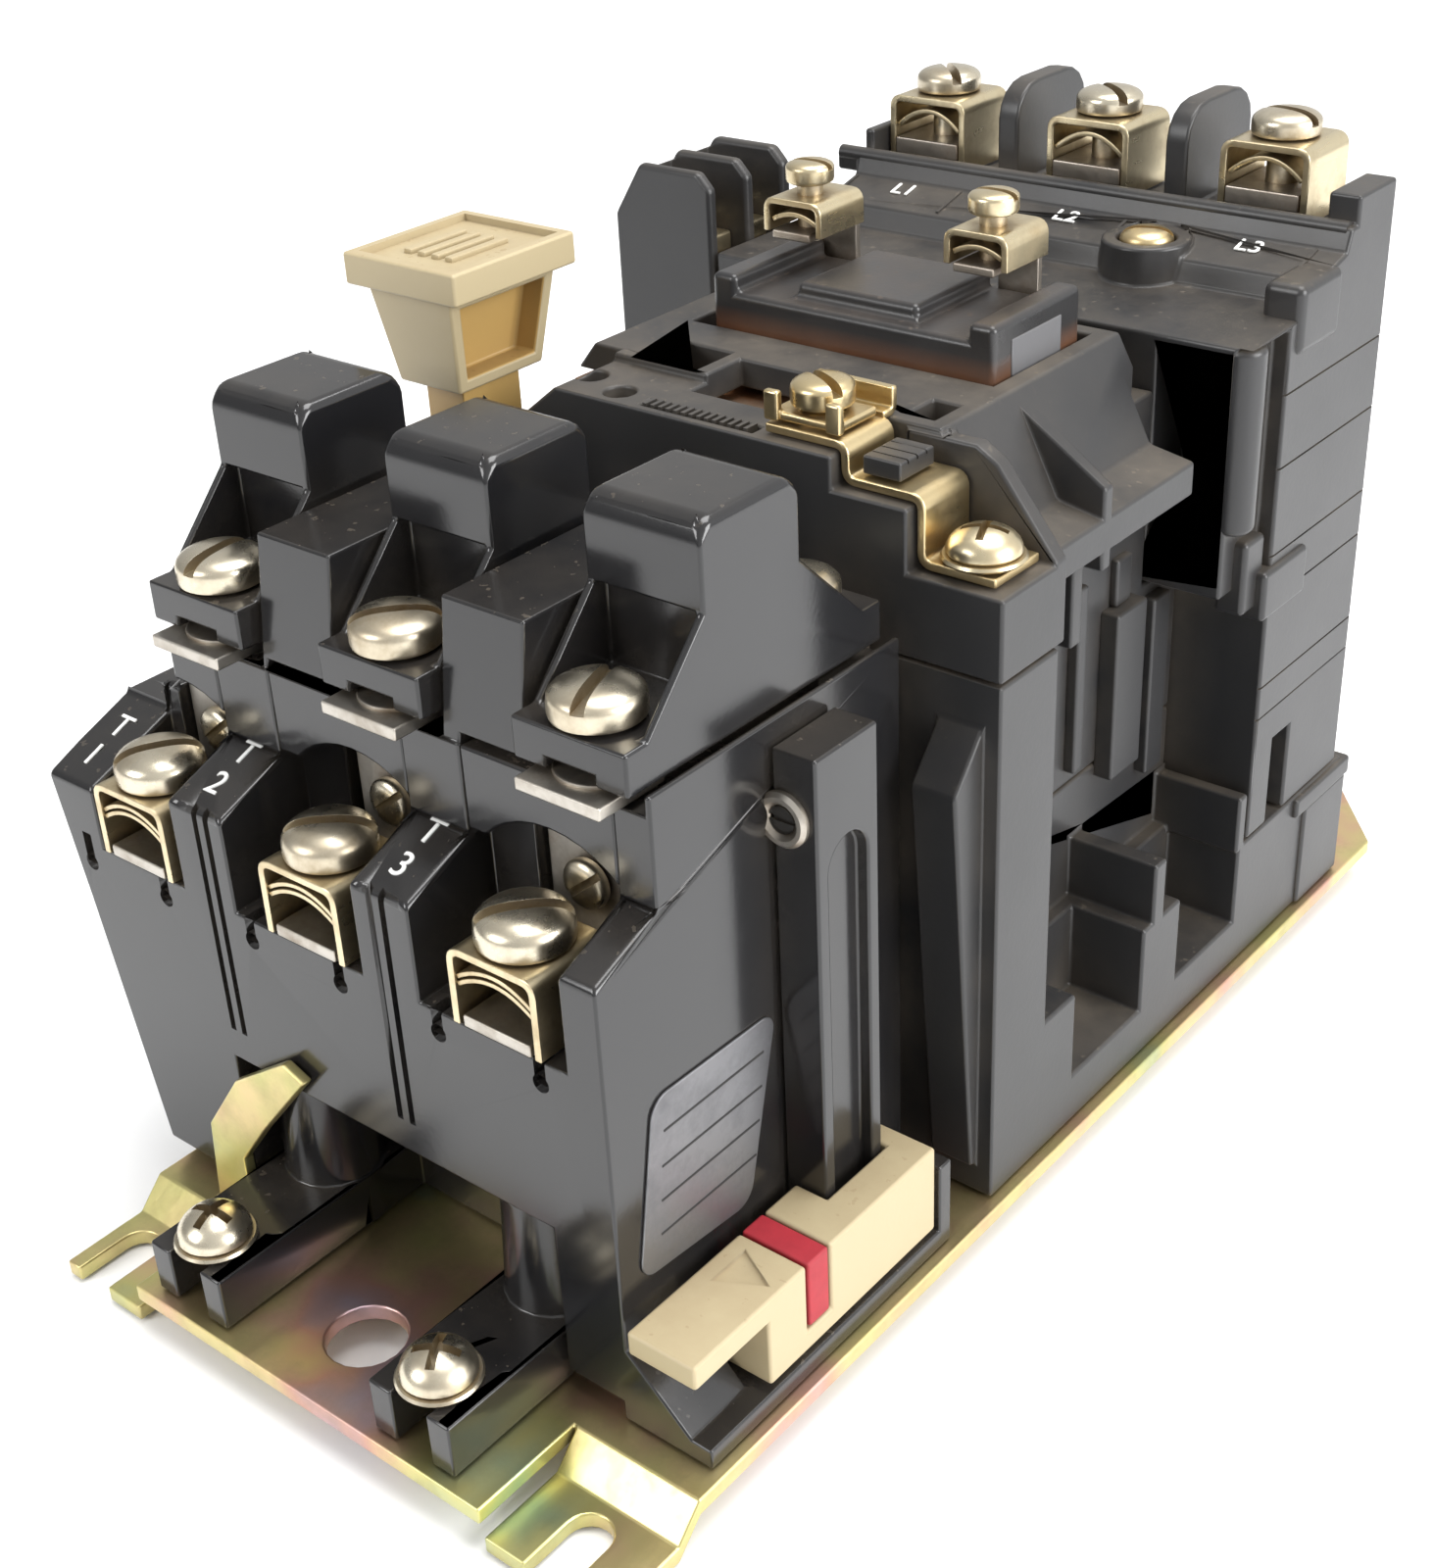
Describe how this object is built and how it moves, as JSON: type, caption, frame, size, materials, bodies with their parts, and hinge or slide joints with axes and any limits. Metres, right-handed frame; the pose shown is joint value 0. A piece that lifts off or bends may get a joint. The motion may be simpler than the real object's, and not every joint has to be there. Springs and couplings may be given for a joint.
{
  "type": "magnetic motor starter",
  "caption": "Three-pole contactor and thermal overload relay on one steel plate, with clamp terminals, heaters, reset button and test lever.",
  "frame": {"origin": "middle of the footprint on the mounting surface", "axes": "+Z away from the mounting surface, +Y towards the line terminals, +X towards the side with the test lever"},
  "size_m": [0.0942, 0.175, 0.1085],
  "materials": {
    "chromate_steel": "zinc plated with a yellow iridescent chromate, satin",
    "black_phenolic": "moulded phenolic, semi-gloss, dusty in its recesses",
    "gloss_phenolic": "moulded phenolic, glossy",
    "gold_plate": "pale gold chromate on steel, bright with tarnish",
    "brass_strap": "bright yellow brass, lightly scratched",
    "silver_contact": "tinned copper, dull silver",
    "bare_iron": "laminated iron with a little rust",
    "spring_steel": "drawn wire",
    "ivory_plastic": "aged ivory plastic, satin",
    "red_plastic": "translucent red plastic"
  },
  "bodies": {
    "housing": {"mounting_plate": "chromate_steel", "contactor_base": "black_phenolic", "magnet_cover": "black_phenolic", "line_block": "black_phenolic", "auxiliary_block": "black_phenolic", "coil": "black_phenolic", "magnet_core": "bare_iron", "return_spring": "spring_steel", "load_bar_1": "silver_contact", "line_bar_1": "silver_contact", "line_clamp_1": "gold_plate", "line_screw_1": "gold_plate", "load_terminal_1": "silver_contact", "load_clamp_1": "gold_plate", "load_screw_1": "gold_plate", "heater_1": "gloss_phenolic", "heater_screw_1": "gold_plate", "load_bar_2": "silver_contact", "line_bar_2": "silver_contact", "line_clamp_2": "gold_plate", "line_screw_2": "gold_plate", "load_terminal_2": "silver_contact", "load_clamp_2": "gold_plate", "load_screw_2": "gold_plate", "heater_2": "gloss_phenolic", "heater_screw_2": "gold_plate", "load_bar_3": "silver_contact", "line_bar_3": "silver_contact", "line_clamp_3": "gold_plate", "line_screw_3": "gold_plate", "load_terminal_3": "silver_contact", "load_clamp_3": "gold_plate", "load_screw_3": "gold_plate", "heater_3": "gloss_phenolic", "heater_screw_3": "gold_plate", "coil_terminal_left": "silver_contact", "coil_clamp_left": "gold_plate", "coil_screw_left": "gold_plate", "foot_screw_left": "gold_plate", "coil_terminal_right": "silver_contact", "coil_clamp_right": "gold_plate", "coil_screw_right": "gold_plate", "foot_screw_right": "gold_plate", "jumper_strap": "brass_strap", "jumper_clamp": "brass_strap", "strap_stop": "black_phenolic", "strap_screw_upper": "brass_strap", "strap_screw_lower": "brass_strap", "cover_screw": "brass_strap", "overload_base": "gloss_phenolic", "overload_contact_block": "gloss_phenolic"},
    "contact_carrier": {"crossbar": "black_phenolic", "armature": "bare_iron", "contact_bridge_1": "silver_contact", "contact_bridge_2": "silver_contact", "contact_bridge_3": "silver_contact"},
    "reset_button": {"reset_button": "ivory_plastic"},
    "test_lever": {"test_lever": "ivory_plastic", "trip_flag": "red_plastic"}
  },
  "joints": [
    {"name": "contact_carrier_slide", "type": "slide", "parent": "housing", "child": "contact_carrier", "axis": [0, 0, 1], "range_m": [0, 0.005], "stiffness_N_per_m": 300, "springref_m": -0.002, "deforming": ["return_spring"]},
    {"name": "reset_button_press", "type": "slide", "parent": "housing", "child": "reset_button", "axis": [0, 0, -1], "range_m": [0, 0.005], "stiffness_N_per_m": 300, "springref_m": -0.002},
    {"name": "test_lever_slide", "type": "slide", "parent": "housing", "child": "test_lever", "axis": [1, 0, 0], "range_m": [0, 0.0024], "stiffness_N_per_m": 300, "springref_m": -0.002}
  ]
}
